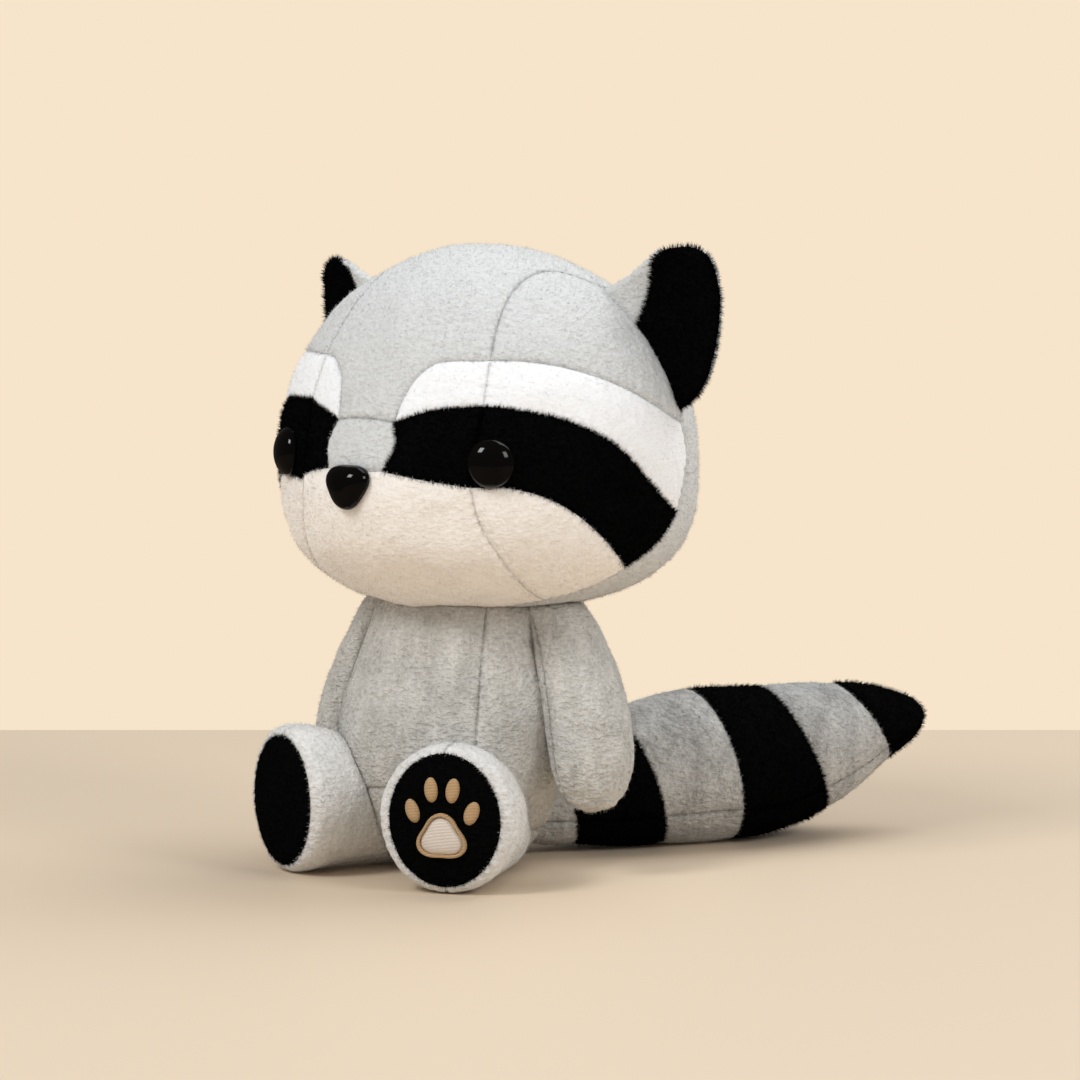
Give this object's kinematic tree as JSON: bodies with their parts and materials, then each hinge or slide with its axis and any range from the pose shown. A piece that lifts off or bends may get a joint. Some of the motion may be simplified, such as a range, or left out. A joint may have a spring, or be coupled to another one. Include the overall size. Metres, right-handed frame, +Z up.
{
  "type": "plush raccoon",
  "caption": "Sitting plush raccoon with a masked face, round ears, short arms, feet put forward and a thick ringed tail; stands on its seat, legs and tail.",
  "frame": {"origin": "on the floor under the seat, at the middle of the seat panel's flat underside", "axes": "+Z up, the face and the feet look along -Y, and the toy's own left side is at +X"},
  "size_m": [0.1566, 0.2121, 0.1941],
  "materials": {
    "forehead_centre": "short pile",
    "nose_bridge": "short pile",
    "muzzle": "short pile",
    "head_stuffing": "loose polyester fibre",
    "nose": "polished dome",
    "nose_washer": "pressed",
    "belly": "short pile",
    "body_side_left": "short pile",
    "body_side_right": "short pile",
    "seat": "short pile",
    "body_stuffing": "loose polyester fibre",
    "tail_root": "short pile",
    "tail_ring_1": "short pile",
    "tail_ring_2": "short pile",
    "tail_ring_3": "short pile",
    "tail_ring_4": "short pile",
    "tail_tip": "short pile",
    "tail_stuffing": "loose polyester fibre",
    "eye_left": "polished dome",
    "eye_right": "polished dome",
    "eye_left_washer": "pressed",
    "eye_right_washer": "pressed",
    "forehead_side_left": "short pile",
    "forehead_side_right": "short pile",
    "brow_inner_left": "short pile",
    "brow_inner_right": "short pile",
    "brow_outer_left": "short pile",
    "brow_outer_right": "short pile",
    "mask_inner_left": "short pile",
    "mask_inner_right": "short pile",
    "mask_outer_left": "short pile",
    "mask_outer_right": "short pile",
    "cheek_left": "short pile",
    "cheek_right": "short pile",
    "head_back_left": "short pile",
    "head_back_right": "short pile",
    "ear_front_left": "short pile",
    "ear_front_right": "short pile",
    "ear_back_left": "short pile",
    "ear_back_right": "short pile",
    "arm_outer_left": "short pile",
    "arm_outer_right": "short pile",
    "arm_inner_left": "short pile",
    "arm_inner_right": "short pile",
    "arm_stuffing_left": "loose polyester fibre",
    "arm_stuffing_right": "loose polyester fibre",
    "leg_inner_left": "short pile",
    "leg_inner_right": "short pile",
    "leg_outer_left": "short pile",
    "leg_outer_right": "short pile",
    "sole_left": "short pile",
    "sole_right": "short pile",
    "leg_stuffing_left": "loose polyester fibre",
    "leg_stuffing_right": "loose polyester fibre"
  },
  "bodies": {
    "root": {"forehead_centre": "forehead_centre", "nose_bridge": "nose_bridge", "muzzle": "muzzle", "head_stuffing": "head_stuffing", "nose": "nose", "nose_washer": "nose_washer", "belly": "belly", "body_side_left": "body_side_left", "body_side_right": "body_side_right", "seat": "seat", "body_stuffing": "body_stuffing", "tail_root": "tail_root", "tail_ring_1": "tail_ring_1", "tail_ring_2": "tail_ring_2", "tail_ring_3": "tail_ring_3", "tail_ring_4": "tail_ring_4", "tail_tip": "tail_tip", "tail_stuffing": "tail_stuffing", "eye_left": "eye_left", "eye_right": "eye_right", "eye_left_washer": "eye_left_washer", "eye_right_washer": "eye_right_washer", "forehead_side_left": "forehead_side_left", "forehead_side_right": "forehead_side_right", "brow_inner_left": "brow_inner_left", "brow_inner_right": "brow_inner_right", "brow_outer_left": "brow_outer_left", "brow_outer_right": "brow_outer_right", "mask_inner_left": "mask_inner_left", "mask_inner_right": "mask_inner_right", "mask_outer_left": "mask_outer_left", "mask_outer_right": "mask_outer_right", "cheek_left": "cheek_left", "cheek_right": "cheek_right", "head_back_left": "head_back_left", "head_back_right": "head_back_right", "ear_front_left": "ear_front_left", "ear_front_right": "ear_front_right", "ear_back_left": "ear_back_left", "ear_back_right": "ear_back_right", "arm_outer_left": "arm_outer_left", "arm_outer_right": "arm_outer_right", "arm_inner_left": "arm_inner_left", "arm_inner_right": "arm_inner_right", "arm_stuffing_left": "arm_stuffing_left", "arm_stuffing_right": "arm_stuffing_right", "leg_inner_left": "leg_inner_left", "leg_inner_right": "leg_inner_right", "leg_outer_left": "leg_outer_left", "leg_outer_right": "leg_outer_right", "sole_left": "sole_left", "sole_right": "sole_right", "leg_stuffing_left": "leg_stuffing_left", "leg_stuffing_right": "leg_stuffing_right"}
  },
  "joints": []
}
